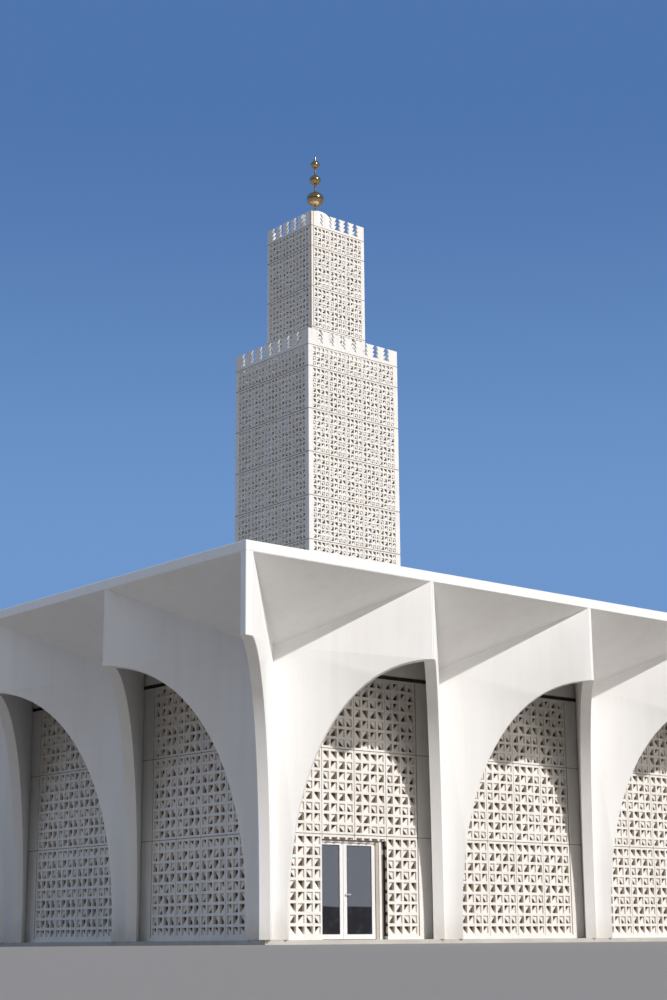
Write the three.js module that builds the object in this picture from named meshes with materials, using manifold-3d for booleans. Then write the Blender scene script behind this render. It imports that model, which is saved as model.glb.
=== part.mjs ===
// A mosque: a flat-roofed hall on zigzag arched walls, with openwork screens and a two-tier minaret.
// Lengths are in millimetres, +Z is up and the front faces -Y. The front left roof corner is at 0, 0.
import * as THREE from "three";
import { mergeVertices } from "three/addons/utils/BufferGeometryUtils.js";
import Module from "manifold-3d";

const wasm = await Module();
wasm.setup();

// The plan is a square grid of bays. Piers stand at half bays, and ridges reach the roof edge at whole bays.
const BAY = 5400;
const BAYS_LONG = 6;
const BAYS_DEEP = 5;
const LENGTH = BAY * BAYS_LONG;
const DEPTH = BAY * BAYS_DEEP;
const GAP = 0.3;
const OVERCUT = 10;
const DIAGONAL = Math.SQRT1_2;

// Floor and roof
const SLAB_TOP = 100;
const SLAB_EDGE = 2430;
const SOFFIT_Z = 8090;
const ROOF_TOP = 8320;
const ROOF_KERB = 300;
const ROOF_RECESS = 70;
const COVERING_T = 40;

// The arched walls. The lower edge is a quarter of a superellipse from the crown down to the pier.
const WALL_T = 260;
const RIDGE_FLAT = 75;
const CROWN_Z = 6280;
const SPRING_Z = 400;
const ARCH_RUN = 3380;
const ARCH_POWER = 2.22;
const ARCH_STEPS = 24;
const FOLD_Z = 6625;
const FOLD_Y = BAY / 2 - RIDGE_FLAT / 2;
const PLATE_OVERRUN = 400;

// The screen walls behind the piers, with a shadow gap under the plain upper wall
const SCREEN_Y = 2820;
const SCREEN_T = 120;
const SCREEN_TOP = 6240;
const UPPER_WALL_Z = 6345;

// The doorway in the first front bay, and the glazed doorset that stands just behind it
const DOORWAY_X0 = 4400;
const DOORWAY_X1 = 6400;
const DOORWAY_TOP = 2365;
const FRAME_X0 = 4095;
const FRAME_X1 = 6316;
const FRAME_Y0 = SCREEN_Y + SCREEN_T + GAP;
const FRAME_Y1 = 3030;
const FRAME_TOP = 2390;
const SIDE_PANEL_LAP = 60;
const SIDE_PANEL_T = 30;
const JAMB_LEFT_W = 65;
const JAMB_RIGHT_W = 155;
const LEAF_Z0 = 110;
const LEAF_TOP = 2295;
const LEAF_Y0 = 2965;
const LEAF_T = 45;
const LEAF_CLEAR = 8;
const JAMB_CLEAR = 14;
const PIVOT_IN = 30;
const PIVOT_R = 12;
const PIVOT_SIDES = 16;
const LEAF_STILE = 105;
const LEAF_RAIL = 48;
const LEAF_BOTTOM_RAIL = 110;
const GLASS_T = 14;
const HANDLE_Z = 1120;
const LEVER_LENGTH = 130;
const LEVER_OUT = 54;
const LEVER_R = 9;
const ROSE_R = 26;
const ROSE_T = 10;
const ROSE_SIDES = 20;

// The minaret: two square tiers of openwork plates, each with a parapet cut by serrated slots
const TOWER_X = 24020;
const TOWER_Y = DEPTH + 30;
const TOWER_T = 160;
const LOWER = { side: 5220, base: SLAB_TOP, shoulder: 25355, top: 26095, slots: 7 };
const UPPER = { side: 3180, base: 25100, shoulder: 31530, top: 32225, slots: 5 };
const DECK_T = 200;
const SLOT_TIERS = 3;
const SLOT_TIER_H = 190;
const SLOT_NARROW = 85;
const SLOT_WIDE = 165;
const PAD_MARGIN = 200;

// The dome and its finial
const DOME_R = 820;
const DOME_T = 120;
const DOME_SPRING = 32280;
const DOME_STEPS = 10;
const DOME_SIDES = 40;
const FINIAL_POLE_R = 50;
const FINIAL_COLLAR_R = 80;
const FINIAL_COLLAR_H = 60;
const FINIAL_TIP_Z = 36030;
const FINIAL_BALLS = [
  { z: 33745, r: 385, squash: 0.86 },
  { z: 34705, r: 255, squash: 0.9 },
  { z: 35492, r: 200, squash: 0.9 },
];
const BALL_STEPS = 8;
const FINIAL_SIDES = 24;

const CONCRETE = new THREE.MeshStandardMaterial({ color: 0xeeece8, roughness: 0.8, metalness: 0 });
const PRECAST = new THREE.MeshStandardMaterial({ color: 0xe6e1d8, roughness: 0.85, metalness: 0 });
const COVERING = new THREE.MeshStandardMaterial({ color: 0xc9c6c0, roughness: 0.95, metalness: 0 });
const GOLD = new THREE.MeshStandardMaterial({ color: 0xb98a3c, roughness: 0.3, metalness: 1 });
const WHITE_METAL = new THREE.MeshStandardMaterial({ color: 0xf0f0ee, roughness: 0.4, metalness: 0.2 });
const STEEL = new THREE.MeshStandardMaterial({ color: 0xa8abad, roughness: 0.35, metalness: 0.9 });
const DARK_METAL = new THREE.MeshStandardMaterial({ color: 0x4a4742, roughness: 0.6, metalness: 0.3 });
const GLASS = new THREE.MeshStandardMaterial({ color: 0x5d6f86, roughness: 0.08, metalness: 0 });

const mosque = new THREE.Group();
mosque.name = "mosque";

function add(name, geometry, material) {
  const mesh = new THREE.Mesh(geometry, material);
  mesh.name = name;
  mosque.add(mesh);
  return mesh;
}

// Geometry helpers

function box(x0, x1, y0, y1, z0, z1) {
  const geometry = new THREE.BoxGeometry(x1 - x0, y1 - y0, z1 - z0);
  return geometry.translate((x0 + x1) / 2, (y0 + y1) / 2, (z0 + z1) / 2);
}

function outline(points) {
  return new THREE.Shape(points.map(([a, b]) => new THREE.Vector2(a, b)));
}

function extrude(shape, thickness) {
  return new THREE.ExtrudeGeometry(shape, { depth: thickness, bevelEnabled: false });
}

// A flat shape stood upright: its first axis runs along `along`, its second up, its thickness towards `side`.
function upright(shape, origin, along, side, thickness) {
  const u = new THREE.Vector3(along[0], along[1], 0).normalize();
  const up = new THREE.Vector3(0, 0, 1);
  const w = new THREE.Vector3().crossVectors(u, up);
  const start = new THREE.Vector3(origin[0], origin[1], 0);
  if (w.x * side[0] + w.y * side[1] < 0) start.addScaledVector(w, -thickness);
  const matrix = new THREE.Matrix4().makeBasis(u, up, w).setPosition(start);
  return extrude(shape, thickness).applyMatrix4(matrix);
}

// A closed geometry as a solid that can be cut and joined.
function solid(geometry) {
  const bare = geometry.index ? geometry.toNonIndexed() : geometry.clone();
  bare.deleteAttribute("normal");
  bare.deleteAttribute("uv");
  const merged = mergeVertices(bare, 1e-3);
  return new wasm.Manifold(
    new wasm.Mesh({
      numProp: 3,
      vertProperties: merged.attributes.position.array,
      triVerts: new Uint32Array(merged.index.array),
    }),
  );
}

function block(...limits) {
  return solid(box(...limits));
}

function geometryOf(body) {
  const mesh = body.getMesh();
  const geometry = new THREE.BufferGeometry();
  const positions = new Float32Array((mesh.vertProperties.length / mesh.numProp) * 3);
  for (let i = 0; i < positions.length / 3; i++) {
    for (let k = 0; k < 3; k++) positions[3 * i + k] = mesh.vertProperties[mesh.numProp * i + k];
  }
  geometry.setAttribute("position", new THREE.BufferAttribute(positions, 3));
  geometry.setIndex(new THREE.BufferAttribute(new Uint32Array(mesh.triVerts), 1));
  geometry.computeVertexNormals();
  return geometry;
}

// The arched walls and their piers

// Half an arched wall from the ridge, where its distance is 0, to the end of its run.
function halfArch(run) {
  const points = [];
  for (let i = 0; i <= ARCH_STEPS; i++) {
    const turn = (i / ARCH_STEPS) * (Math.PI / 2);
    const along = ARCH_RUN * Math.sin(turn) ** (2 / ARCH_POWER);
    const rise = (CROWN_Z - SPRING_Z) * Math.cos(turn) ** (2 / ARCH_POWER);
    points.push([along, SPRING_Z + rise]);
  }
  points[ARCH_STEPS][1] = SPRING_Z;
  return outline([
    [-PLATE_OVERRUN, CROWN_Z],
    ...points,
    [ARCH_RUN, SLAB_TOP + GAP],
    [run, SLAB_TOP + GAP],
    [run, SOFFIT_Z - GAP],
    [-PLATE_OVERRUN, SOFFIT_Z - GAP],
  ]);
}

function archedWall(ridge, along, side) {
  const run = BAY * DIAGONAL + PLATE_OVERRUN;
  return solid(upright(halfArch(run), ridge, along, side, WALL_T));
}

// The sloping soffit over the triangle between two ridges and the fold of the pier.
function soffitWedge() {
  const reach = BAY / 2;
  const drop = ((SOFFIT_Z - FOLD_Z) * reach) / FOLD_Y;
  const top = SOFFIT_Z - GAP;
  const slope = outline([
    [0, top],
    [reach, top - drop],
    [reach, top],
  ]);
  const sheet = solid(upright(slope, [GAP / 2, 0], [0, 1], [1, 0], BAY - GAP));
  const plan = outline([
    [0, 0],
    [BAY, 0],
    [BAY / 2, BAY / 2],
  ]);
  const triangle = solid(extrude(plan, ROOF_TOP));
  return sheet.intersect(triangle);
}

// One pier of a straight side: two arched walls in a V and the soffit between them.
function sidePier() {
  const mid = BAY / 2;
  const back = SCREEN_Y - GAP;
  const flat = -RIDGE_FLAT / 2;
  const right = archedWall([BAY, flat], [-1, 1], [1, 1]).intersect(
    block(mid, BAY - GAP / 2, 0, back, 0, ROOF_TOP),
  );
  const left = archedWall([0, flat], [1, 1], [-1, 1]).intersect(
    block(GAP / 2, mid, 0, back, 0, ROOF_TOP),
  );
  return geometryOf(right.add(left).add(soffitWedge()));
}

// The corner pier: one straight arched wall across the corner, a fin on the diagonal, and two soffits.
function cornerPier() {
  const flat = -RIDGE_FLAT / 2;
  const limit = BAY - GAP / 2;
  const cell = block(0, limit, 0, limit, 0, ROOF_TOP);
  const indoors = block(SCREEN_Y - GAP, BAY, SCREEN_Y - GAP, BAY, 0, ROOF_TOP);
  const rightWall = archedWall([BAY, flat], [-1, 1], [1, 1]);
  const leftWall = archedWall([flat, BAY], [1, -1], [1, 1]);
  const finRun = BAY * DIAGONAL + WALL_T / 2;
  const halfT = (WALL_T / 2) * DIAGONAL;
  const fin = solid(upright(halfArch(finRun), [-halfT, halfT], [1, 1], [1, -1], WALL_T));
  const soffit = soffitWedge();
  const mirrored = soffitWedge().mirror([1, -1, 0]);
  const walls = rightWall.add(leftWall).add(fin).add(soffit).add(mirrored);
  return geometryOf(walls.intersect(cell).subtract(indoors));
}

// Piers are numbered along each side, and the corners are named for where they stand.
function addPiers() {
  const side = sidePier();
  const corner = cornerPier();
  const place = (name, geometry, x, y, turn) => {
    const mesh = add(name, geometry, CONCRETE);
    mesh.position.set(x, y, 0);
    mesh.rotation.z = (turn * Math.PI) / 2;
  };
  place("pier_corner_front_left", corner, 0, 0, 0);
  place("pier_corner_front_right", corner, LENGTH, 0, 1);
  place("pier_corner_back_right", corner, LENGTH, DEPTH, 2);
  place("pier_corner_back_left", corner, 0, DEPTH, 3);
  for (let i = 1; i < BAYS_LONG - 1; i++) {
    place(`pier_front_${i}`, side, i * BAY, 0, 0);
    place(`pier_back_${i}`, side, (i + 1) * BAY, DEPTH, 2);
  }
  for (let i = 1; i < BAYS_DEEP - 1; i++) {
    place(`pier_right_${i}`, side, LENGTH, i * BAY, 1);
    place(`pier_left_${i}`, side, 0, (i + 1) * BAY, 3);
  }
}

// The floor, the roof and the walls that close the hall

function addFloor() {
  const hall = block(SLAB_EDGE, LENGTH - SLAB_EDGE, SLAB_EDGE, DEPTH - SLAB_EDGE, 0, SLAB_TOP);
  const pad = block(
    TOWER_X - PAD_MARGIN,
    TOWER_X + LOWER.side + PAD_MARGIN,
    DEPTH - SLAB_EDGE - PAD_MARGIN,
    TOWER_Y + LOWER.side + PAD_MARGIN,
    0,
    SLAB_TOP,
  );
  add("floor_slab", geometryOf(hall.add(pad)), PRECAST);
}

function addRoof() {
  const recess = [ROOF_KERB, LENGTH - ROOF_KERB, ROOF_KERB, DEPTH - ROOF_KERB];
  const slab = block(0, LENGTH, 0, DEPTH, SOFFIT_Z, ROOF_TOP);
  const hollow = block(...recess, ROOF_TOP - ROOF_RECESS, ROOF_TOP + ROOF_RECESS);
  add("roof_slab", geometryOf(slab.subtract(hollow)), CONCRETE);
  const floorZ = ROOF_TOP - ROOF_RECESS + GAP;
  const inner = [recess[0] + GAP, recess[1] - GAP, recess[2] + GAP, recess[3] - GAP];
  add("roof_covering", box(...inner, floorZ, floorZ + COVERING_T), COVERING);
}

// A straight wall on one side of the hall, from one distance along the side to another.
function sideWall(name, side, from, to, z0, z1, material) {
  const near = SCREEN_Y;
  const far = SCREEN_Y + SCREEN_T;
  const limits = {
    front: [from, to, near, far],
    back: [from, to, DEPTH - far, DEPTH - near],
    left: [near, far, from, to],
    right: [LENGTH - far, LENGTH - near, from, to],
  };
  add(name, box(...limits[side], z0, z1), material);
}

function addWalls() {
  const inset = SCREEN_Y + SCREEN_T + GAP;
  const bottom = SLAB_TOP + GAP;
  const top = SOFFIT_Z - GAP;
  const runs = {
    front: [SCREEN_Y, LENGTH - SCREEN_Y],
    back: [SCREEN_Y, LENGTH - SCREEN_Y],
    left: [inset, DEPTH - inset],
    right: [inset, DEPTH - inset],
  };
  for (const [side, [from, to]] of Object.entries(runs)) {
    sideWall(`upper_wall_${side}`, side, from, to, UPPER_WALL_Z, top, CONCRETE);
    if (side !== "front") sideWall(`screen_${side}`, side, from, to, bottom, SCREEN_TOP, PRECAST);
  }
  const [start, end] = runs.front;
  sideWall("screen_front_left", "front", start, DOORWAY_X0 - GAP, bottom, SCREEN_TOP, PRECAST);
  sideWall("screen_front_over_door", "front", DOORWAY_X0, DOORWAY_X1, DOORWAY_TOP, SCREEN_TOP, PRECAST);
  sideWall("screen_front_right", "front", DOORWAY_X1 + GAP, end, bottom, SCREEN_TOP, PRECAST);
}

// The doorset

function addDoorFrame() {
  const whole = block(FRAME_X0, FRAME_X1, FRAME_Y0, FRAME_Y1, SLAB_TOP + GAP, FRAME_TOP);
  const clear = block(
    FRAME_X0 + JAMB_LEFT_W,
    FRAME_X1 - JAMB_RIGHT_W,
    FRAME_Y0 - OVERCUT,
    FRAME_Y1 + OVERCUT,
    0,
    LEAF_TOP + LEAF_CLEAR,
  );
  add("door_frame", geometryOf(whole.subtract(clear)), WHITE_METAL);
  const panelX1 = DOORWAY_X1 + SIDE_PANEL_LAP;
  const panelY1 = FRAME_Y0 + SIDE_PANEL_T;
  const panel = box(FRAME_X1 + GAP, panelX1, FRAME_Y0, panelY1, SLAB_TOP + GAP, FRAME_TOP);
  add("door_side_panel", panel, DARK_METAL);
}

function pin(x, y, z0, z1) {
  const cylinder = new THREE.CylinderGeometry(PIVOT_R, PIVOT_R, z1 - z0, PIVOT_SIDES).rotateX(Math.PI / 2);
  return solid(cylinder.translate(x, y, (z0 + z1) / 2));
}

// A glazed leaf from x0 to x1, turning on pins above and below it at pivotX.
function addLeaf(name, x0, x1, pivotX) {
  const edge = outline([
    [x0, LEAF_Z0],
    [x1, LEAF_Z0],
    [x1, LEAF_TOP],
    [x0, LEAF_TOP],
  ]);
  const pane = [
    [x0 + LEAF_STILE, LEAF_Z0 + LEAF_BOTTOM_RAIL],
    [x1 - LEAF_STILE, LEAF_Z0 + LEAF_BOTTOM_RAIL],
    [x1 - LEAF_STILE, LEAF_TOP - LEAF_RAIL],
    [x0 + LEAF_STILE, LEAF_TOP - LEAF_RAIL],
  ];
  edge.holes.push(outline(pane));
  const frame = solid(upright(edge, [0, LEAF_Y0], [1, 0], [0, 1], LEAF_T));
  const middleY = LEAF_Y0 + LEAF_T / 2;
  const lower = pin(pivotX, middleY, SLAB_TOP + GAP, LEAF_Z0 + PIVOT_R);
  const upper = pin(pivotX, middleY, LEAF_TOP - PIVOT_R, LEAF_TOP + LEAF_CLEAR - GAP);
  add(`${name}_frame`, geometryOf(frame.add(lower).add(upper)), WHITE_METAL);
  const glassY = LEAF_Y0 + (LEAF_T - GLASS_T) / 2;
  const glass = box(
    pane[0][0] + GAP,
    pane[1][0] - GAP,
    glassY,
    glassY + GLASS_T,
    pane[0][1] + GAP,
    pane[2][1] - GAP,
  );
  add(`${name}_glass`, glass, GLASS);
}

// A lever on a round rose, standing out of the face of the right leaf.
function addHandle(x) {
  const front = LEAF_Y0 - GAP;
  const outward = (r, length) => {
    const round = new THREE.CylinderGeometry(r, r, length, ROSE_SIDES);
    return solid(round.translate(x, front - length / 2, HANDLE_Z));
  };
  const rose = outward(ROSE_R, ROSE_T);
  const stem = outward(LEVER_R, LEVER_OUT);
  const near = front - LEVER_OUT - LEVER_R;
  const lever = block(
    x - LEVER_R,
    x + LEVER_LENGTH,
    near,
    near + 2 * LEVER_R,
    HANDLE_Z - LEVER_R,
    HANDLE_Z + LEVER_R,
  );
  add("door_right_handle", geometryOf(rose.add(stem).add(lever)), STEEL);
}

function addDoors() {
  addDoorFrame();
  const x0 = FRAME_X0 + JAMB_LEFT_W + JAMB_CLEAR;
  const x1 = FRAME_X1 - JAMB_RIGHT_W - JAMB_CLEAR;
  const middle = (x0 + x1) / 2;
  addLeaf("door_left", x0, middle - LEAF_CLEAR / 2, x0 + PIVOT_IN);
  addLeaf("door_right", middle + LEAF_CLEAR / 2, x1, x1 - PIVOT_IN);
  addHandle(middle + LEAF_CLEAR / 2 + LEAF_STILE / 2);
}

// The minaret

// The upright edges of one slot, from its mouth at the top down one side and up the other.
function slotEdge(centre, top) {
  const down = [];
  for (let tier = 0; tier < SLOT_TIERS; tier++) {
    const z = top - tier * SLOT_TIER_H;
    down.push([SLOT_NARROW, z], [SLOT_WIDE, z - SLOT_TIER_H]);
  }
  const left = down.map(([half, z]) => [centre - half, z]);
  const right = down.map(([half, z]) => [centre + half, z]).reverse();
  return [...left, ...right];
}

function towerPlate(tier, from, to) {
  const pitch = tier.side / (tier.slots + 1);
  const points = [
    [to, tier.base + GAP],
    [from, tier.base + GAP],
    [from, tier.top],
  ];
  for (let i = 1; i <= tier.slots; i++) points.push(...slotEdge(i * pitch, tier.top));
  points.push([to, tier.top]);
  return outline(points.reverse());
}

function addTier(name, tier) {
  const inset = (LOWER.side - tier.side) / 2;
  const x0 = TOWER_X + inset;
  const y0 = TOWER_Y + inset;
  const whole = towerPlate(tier, 0, tier.side);
  const between = towerPlate(tier, TOWER_T + GAP, tier.side - TOWER_T - GAP);
  const far = tier.side - TOWER_T;
  const plates = {
    front: upright(whole, [x0, y0], [1, 0], [0, 1], TOWER_T),
    back: upright(whole, [x0, y0 + far], [1, 0], [0, 1], TOWER_T),
    left: upright(between, [x0, y0], [0, 1], [1, 0], TOWER_T),
    right: upright(between, [x0 + far, y0], [0, 1], [1, 0], TOWER_T),
  };
  for (const [side, plate] of Object.entries(plates)) add(`${name}_${side}`, plate, PRECAST);
}

// A slab that fills a tier from wall to wall.
function addDeck(name, tier, top) {
  const inset = (LOWER.side - tier.side) / 2 + TOWER_T + GAP;
  const span = tier.side - 2 * (TOWER_T + GAP);
  const x0 = TOWER_X + inset;
  const y0 = TOWER_Y + inset;
  add(name, box(x0, x0 + span, y0, y0 + span, top - DECK_T, top), CONCRETE);
}

function lathe(points, sides) {
  const profile = points.map(([r, z]) => new THREE.Vector2(r, z));
  const geometry = new THREE.LatheGeometry(profile, sides).rotateX(Math.PI / 2);
  const centre = LOWER.side / 2;
  return geometry.translate(TOWER_X + centre, TOWER_Y + centre, 0);
}

// A round shell on a short drum, open below.
function addDome() {
  const bottom = UPPER.shoulder + GAP;
  const outer = [];
  const inner = [];
  for (let i = 0; i <= DOME_STEPS; i++) {
    const turn = (i / DOME_STEPS) * (Math.PI / 2);
    const ring = (r) => [r * Math.cos(turn), DOME_SPRING + r * Math.sin(turn)];
    outer.push(ring(DOME_R));
    inner.push(ring(DOME_R - DOME_T));
  }
  outer[DOME_STEPS][0] = 0;
  inner[DOME_STEPS][0] = 0;
  const profile = [
    ...inner.reverse(),
    [DOME_R - DOME_T, bottom],
    [DOME_R, bottom],
    ...outer,
  ];
  add("minaret_dome", lathe(profile, DOME_SIDES), CONCRETE);
}

// A pole with three flattened balls and a pointed tip.
function addFinial() {
  const bottom = DOME_SPRING + DOME_R + GAP;
  const points = [
    [0, bottom],
    [FINIAL_COLLAR_R, bottom],
    [FINIAL_POLE_R, bottom + FINIAL_COLLAR_H],
  ];
  for (const ball of FINIAL_BALLS) {
    const start = Math.asin(FINIAL_POLE_R / ball.r);
    for (let i = 0; i <= BALL_STEPS; i++) {
      const turn = start + (i / BALL_STEPS) * (Math.PI - 2 * start);
      points.push([ball.r * Math.sin(turn), ball.z - ball.r * ball.squash * Math.cos(turn)]);
    }
  }
  points.push([0, FINIAL_TIP_Z]);
  add("minaret_finial", lathe(points, FINIAL_SIDES), GOLD);
}

function addMinaret() {
  addTier("minaret_lower", LOWER);
  addDeck("minaret_lower_deck", LOWER, UPPER.base);
  addTier("minaret_upper", UPPER);
  addDeck("minaret_upper_deck", UPPER, UPPER.shoulder);
  addDome();
  addFinial();
}

addFloor();
addPiers();
addWalls();
addRoof();
addDoors();
addMinaret();

// The frame's origin is under the middle of the whole building.
const totalDepth = TOWER_Y + LOWER.side + PAD_MARGIN;
mosque.position.set(-LENGTH / 2, -totalDepth / 2, 0);

export default mosque;
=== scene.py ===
import math

import bmesh
import bpy
from mathutils import Matrix, Vector


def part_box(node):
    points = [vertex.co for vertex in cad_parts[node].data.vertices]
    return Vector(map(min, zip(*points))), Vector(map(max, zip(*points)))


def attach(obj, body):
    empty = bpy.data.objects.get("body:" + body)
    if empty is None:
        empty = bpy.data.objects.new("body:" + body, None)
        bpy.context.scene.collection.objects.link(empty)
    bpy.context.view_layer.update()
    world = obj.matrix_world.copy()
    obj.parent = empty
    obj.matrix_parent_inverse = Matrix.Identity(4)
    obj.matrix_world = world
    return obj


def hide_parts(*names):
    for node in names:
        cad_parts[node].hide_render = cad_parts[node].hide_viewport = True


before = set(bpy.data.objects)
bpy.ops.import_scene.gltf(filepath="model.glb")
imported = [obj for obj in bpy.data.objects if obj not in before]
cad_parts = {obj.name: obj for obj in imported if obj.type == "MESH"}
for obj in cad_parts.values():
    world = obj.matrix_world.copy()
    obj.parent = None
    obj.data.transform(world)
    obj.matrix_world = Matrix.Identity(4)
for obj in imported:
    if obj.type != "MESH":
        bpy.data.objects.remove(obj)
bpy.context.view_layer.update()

# The hall's plan
BAY = 5.4
BAYS_LONG = 6
BAYS_DEEP = 5
LENGTH = BAY * BAYS_LONG
DEPTH = BAY * BAYS_DEEP
PLAN_ORIGIN = Vector((-16.2, -16.225, 0))
WALL_HALF = 0.13
GAP = 0.0003

# Where the screen walls stand
SCREEN_Y = 2.82
SCREEN_T = 0.12
SCREEN_BOTTOM = 0.1003
SCREEN_TOP = 6.24
SCREEN_END = SCREEN_Y + SCREEN_T + GAP
DOORWAY = (4.4, 6.4)
DOORWAY_TOP = 2.365

# Cells and the bars between them, which are wider at the rear by SPLAY each way
CELL_W = 0.25
COLUMNS = 16
PANEL_COLUMNS = 4
PANEL_W = PANEL_COLUMNS * CELL_W
FIELD_HALF = COLUMNS * CELL_W / 2
BAR = 0.064
EDGE_BAR = 0.05
OPENWORK_T = 0.072
SPLAY = 0.008
WEB_BACK = 0.042
WEB_T = 0.025

# Level bars stand this far behind the upright ones, and parts of a piece run this far into each other
BAR_STEP = 0.001
EMBED = 0.004

# Joints and the plain plates round the cells
JOINT = 0.02
PANEL_JOINT = 0.012
FILLER_BACK = 0.012
KERB_TOP = 0.18
TOP_BAND = 6.22
END_STRIP = 0.1

# The plain wall over the shadow gap
UPPER_WALL = (6.345, 8.0897)
UPPER_WALL_HALF = 2.38
UPPER_RECESS = 0.05

# How panels differ in tone: a step for each of up to three numbers, how many tones and the strongest
TONE_STRIDES = (37, 61, 17)
TONES = 11
TONE_MOST = 0.45

# Each letter is one cell of a panel: the corner of the cell where its hole has the right angle.
# a is upper left, b upper right, c lower left and d lower right. A web closes the other half.
PATTERN = ["bbba", "dadc", "cdad", "caca", "dbdb", "dacc", "bdaa", "dacc"]
# Bottom and top of each band of panels, and the rows it shows from the top down
SCREEN_BANDS = [
    (0.18, 2.465, PATTERN + PATTERN[:1]),
    (2.485, 4.45, PATTERN),
    (4.47, 6.22, PATTERN[1:]),
]

# The glazing close behind the screens
GLAZING_Y = 2.9
GLAZING_T = 0.014
GLAZING_TOP = 6.5
DOORSET = (4.08, 6.475)
DOORSET_TOP = 2.4
MULLION = 0.05
MULLION_DEPTH = 0.056
MULLION_PITCH = 2.0
GLAZING_CORNER = 0.06

# The doorset
FRAME_RIGHT = 6.316
FRAME_FRONT = 2.9403
# Foot and top of a thin brown strip over the doors, painted shadow of the doorway's head
HEAD_PAINTED_SHADOW = (2.335, 2.39)
TRIM_T = 0.001
JAMB_COVER = 0.075
JAMB_COVER_T = 0.02
GASKET = 0.012
GASKET_OUT = 0.009
GASKET_IN = 0.001

# The side light: its panel's front and back, the rail across it and the slim edge, behind the frame's front
SIDE_PANEL_X = (6.3163, 6.46)
SIDE_PANEL_TOP = 2.39
SIDE_PANEL_DEPTH = (0.008, 0.03)
SIDE_RAIL = (2.06, 2.17)
SIDE_RAIL_T = 0.02
SIDE_EDGE = 0.008

# The lever handle: radius and length of its rose and stem, and the lever behind the handle's front
ROSE = (0.026, 0.01)
STEM = (0.0085, 0.05)
LEVER_T = 0.017
LEVER_H = 0.028
LEVER_MIDDLE = 0.009
HANDLE_EDGE = 0.003
HANDLE_STEPS = 32

# The minaret's place, plates, cells, joints, corner beads and merlons
TOWER_ORIGIN = Vector((24.02, 27.03, 0))
TOWER_T = 0.16
TOWER_CELL = (0.24, 0.2369)
TOWER_PITCH = 1.935
TOWER_JOINT = 0.04
BEAD = 0.04
BEAD_OUT = 0.003
MERLON_T = 0.07
# Each tier's side, its distance in from the lower tier and its heights: the base, the foot of the
# lowest cells, the joint under the highest band of cells, the joint under the parapet and the top
LOWER = {
    "name": "minaret_lower",
    "side": 5.22,
    "inset": 0.0,
    "base": 0.1003,
    "lowest": 1.12,
    "joint": 24.395,
    "shoulder": 25.355,
    "top": 26.095,
    "columns": 20,
    "slots": 7,
    "post": 0.0,
}
UPPER = {
    "name": "minaret_upper",
    "side": 3.18,
    "inset": 1.02,
    "base": 25.1003,
    "lowest": 26.05,
    "joint": 30.57,
    "shoulder": 31.53,
    "top": 32.225,
    "columns": 12,
    "slots": 5,
    "post": 0.12,
}

# The parapets' slots: tiers of teeth, their height, and half a slot's width at the head and foot of a tooth
SLOT_TIERS = 3
SLOT_TIER_H = 0.19
SLOT_NARROW = 0.07
SLOT_WIDE = 0.19

# The dome
AXIS = TOWER_ORIGIN + PLAN_ORIGIN + Vector((LOWER["side"] / 2, LOWER["side"] / 2, 0))
DOME_R = 0.82
DOME_T = 0.12
DOME_SPRING = 32.28
DOME_EDGE = 0.05
DOME_RINGS = 24
DOME_STEPS = 96

# The finial: each ball's height, radius and how much it is flattened, and the collars below and above it
BALLS = [(33.745, 0.41, 0.85), (34.705, 0.275, 0.88), (35.492, 0.215, 0.88)]
BALL_RINGS = 20
SEAM = 0.004
COLLAR_R = 0.06
COLLAR_BELOW = (0.06, 0.045, 0.01)
COLLAR_ABOVE = (0.01, 0.035, 0.05)
POLE_R = 0.045
FINIAL_FOOT = [(0, 0), (0.1, 0), (0.1, 0.02), (POLE_R, 0.07)]
FINIAL_POINT = [(POLE_R * 0.8, 0.2), (POLE_R * 0.3, 0.05), (0, 0)]
FINIAL_TIP = 36.03
FINIAL_STEPS = 72

# Angles between faces, from those that are joined up to those that stay hard, and very small lengths
FLAT_WITHIN = math.radians(0.5)
CHAMFER_OVER = math.radians(25)
ROUND_UNDER = math.radians(35)
HANDLE_EDGE_OVER = math.radians(40)
MERGE_WITHIN = 0.0001
ON_AXIS = 1e-6

# The camera, at the photograph's viewing angle
CAMERA_AT = Vector((-38.097, -44.873, 0.054))
CAMERA_HEADING = math.radians(49.66)
CAMERA_PITCH = math.radians(14.19)
CAMERA_ROLL = math.radians(-0.447)
FOCAL_PIXELS = 1747.6
PHOTO_HEIGHT = 1000
SENSOR = 36.0
CLIP = (0.05, 1000)

# The stage floor, a disc
STAGE_REACH = 320.0
STAGE_STEPS = 96

# The key light stands a little right of the front's middle
KEY_AZIMUTH = math.radians(8)
KEY_ELEVATION = math.radians(34.5)
KEY_STRENGTH = 3.1
KEY_COLOUR = (1.0, 0.97, 0.94)
KEY_ANGLE = math.radians(1.0)

# The backdrop's colours: high up behind the building and in front of it, then low down behind and in front
HIGH_BEHIND = (0.08, 0.18, 0.42, 1.0)
HIGH_IN_FRONT = (0.17, 0.195, 0.24, 1.0)
LOW_BEHIND = (0.16, 0.31, 0.60, 1.0)
LOW_IN_FRONT = (0.06, 0.075, 0.10, 1.0)

# Where they blend: along the camera's heading, towards the palest part, and in height
CAMERA_FORWARD = (math.cos(CAMERA_HEADING), math.sin(CAMERA_HEADING), 0.0)
PALEST = (-0.1, -0.62, 0.78)
BEHIND_SPAN = (-0.7, 0.7)
PALE_SPAN = (-0.05, 0.9)
LOW_SPAN = (0.2, 0.46)

# A wide soft fill from high up on the left
FILL_FROM = (-0.62, 0.25, 0.74)
FILL_STRENGTH = 0.6
FILL_COLOUR = (0.82, 0.9, 1.0)
FILL_ANGLE = math.radians(70)

# A low soft fill in front of the building
LOW_FILL_FROM = (0.14, -0.99, 0.02)
LOW_FILL_STRENGTH = 1.2
LOW_FILL_COLOUR = (1.0, 0.92, 0.82)
LOW_FILL_ANGLE = math.radians(40)


# Materials


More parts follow.
